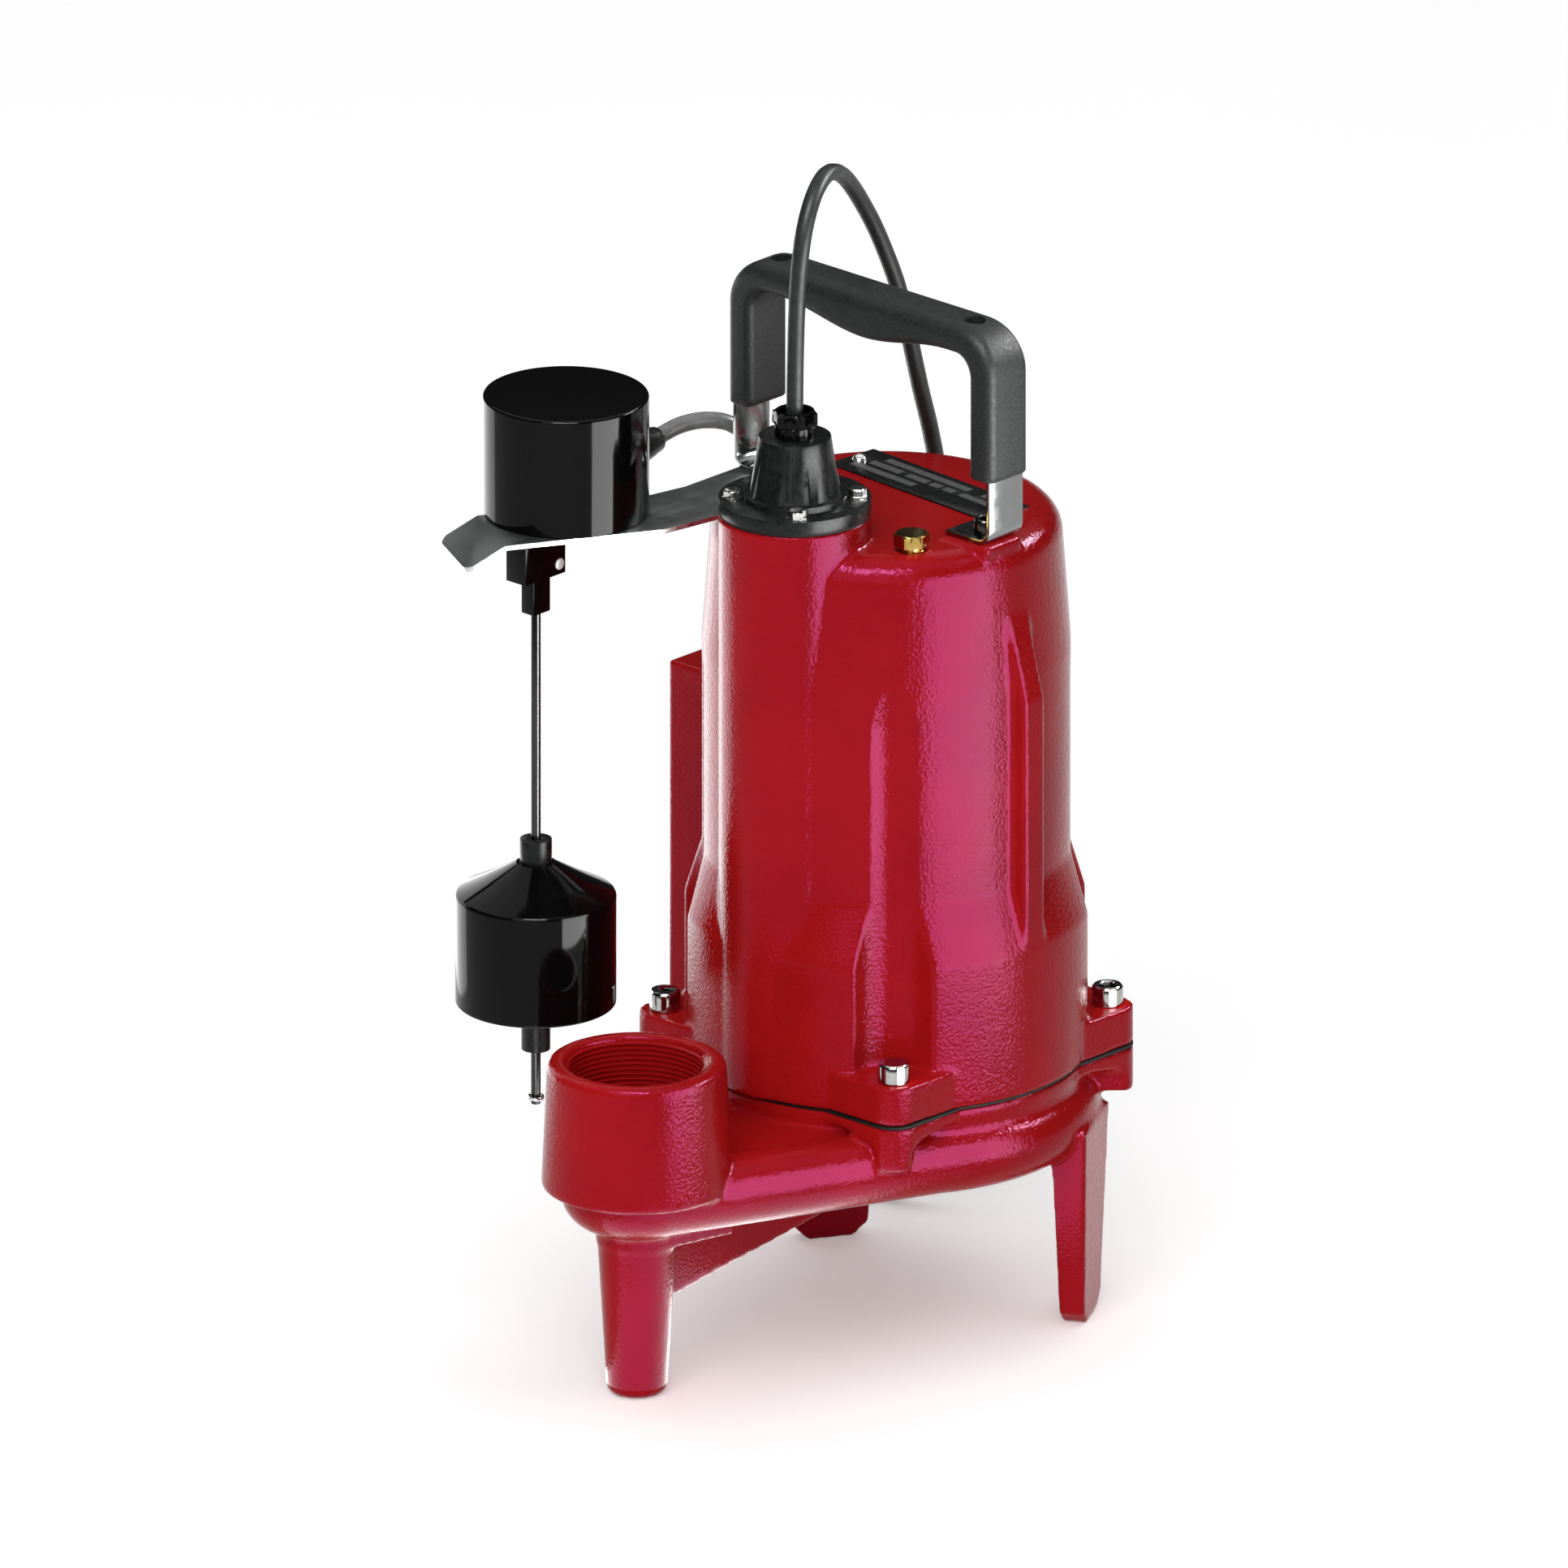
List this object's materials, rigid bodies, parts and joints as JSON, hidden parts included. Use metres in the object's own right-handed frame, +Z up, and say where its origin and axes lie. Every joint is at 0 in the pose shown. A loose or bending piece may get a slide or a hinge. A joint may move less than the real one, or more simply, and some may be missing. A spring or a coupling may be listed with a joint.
{
  "type": "submersible sump pump",
  "caption": "Submersible sump and effluent pump: oil-filled cast motor on a legged volute with a threaded upright discharge, lifting handle and vertical float switch.",
  "frame": {"origin": "on the floor, under the middle of the pump's bounding box without its cords", "axes": "+Z up along the motor axis, -Y towards the discharge, X along the handle"},
  "size_m": [0.2988, 0.3988, 0.5038],
  "materials": {
    "red_enamel": "glossy enamel over a lightly textured iron casting",
    "black_gloss": "polished moulded plastic",
    "black_satin": "fine-grained moulded plastic",
    "stainless": "rolled stainless sheet",
    "bright_steel": "bright plated steel",
    "machined_steel": "turned and ground steel",
    "iron": "bare grey iron",
    "brass": "turned brass",
    "copper": "varnished copper winding",
    "rubber": "moulded rubber",
    "cord_jacket": "extruded rubber jacket",
    "cable_jacket": "extruded rubber jacket",
    "plate_print": "thin printed metal plate"
  },
  "bodies": {
    "pump": {"volute": "red_enamel", "discharge_elbow": "red_enamel", "motor_housing": "red_enamel", "flange_gasket": "rubber", "flange_bolts": "bright_steel", "bearing_plate": "iron", "shaft_seal": "rubber", "lower_bearing": "machined_steel", "upper_bearing": "machined_steel", "stator_core": "machined_steel", "stator_windings": "copper", "capacitor": "stainless", "cap_seal": "rubber", "cord_cap": "black_satin", "cap_screws": "bright_steel", "cord_grommet": "rubber", "gland_nut": "black_satin", "handle_strap": "stainless", "handle_grip": "black_satin", "handle_screws": "bright_steel", "oil_plug": "brass", "nameplate": "plate_print", "nameplate_pins": "bright_steel", "switch_bracket": "stainless", "switch_base": "black_gloss", "switch_housing": "black_gloss", "switch_element": "black_satin", "switch_gland": "black_satin", "rod_yoke": "black_satin", "yoke_pin": "bright_steel", "bracket_screws": "bright_steel", "power_cord": "cord_jacket", "power_coil": "cord_jacket", "power_coil_tie": "black_satin", "power_tail": "cord_jacket", "power_plug": "rubber", "power_plug_blades": "brass", "switch_cable": "cable_jacket", "switch_coil": "cable_jacket", "switch_coil_tie": "black_satin", "switch_tail": "cable_jacket", "switch_plug": "rubber", "switch_plug_blades": "brass"},
    "rotor": {"shaft": "machined_steel", "rotor_core": "machined_steel", "impeller": "iron", "impeller_nut": "bright_steel"},
    "rod": {"float_rod": "machined_steel", "rod_coupler": "black_satin", "rod_magnet": "iron", "rod_clip": "bright_steel"},
    "float": {"float_body": "black_gloss", "float_sleeve": "black_satin"}
  },
  "joints": [
    {"name": "rotor_spin", "type": "hinge", "parent": "pump", "child": "rotor", "pos_m": [0.016, 0.051, 0.2], "axis": [0, 0, 1], "continuous": true},
    {"name": "rod_lift", "type": "slide", "parent": "pump", "child": "rod", "axis": [0, 0, 1], "range_m": [0, 0.006]},
    {"name": "float_slide", "type": "slide", "parent": "rod", "child": "float", "axis": [0, 0, 1], "range_m": [-0.02, 0.095]}
  ]
}
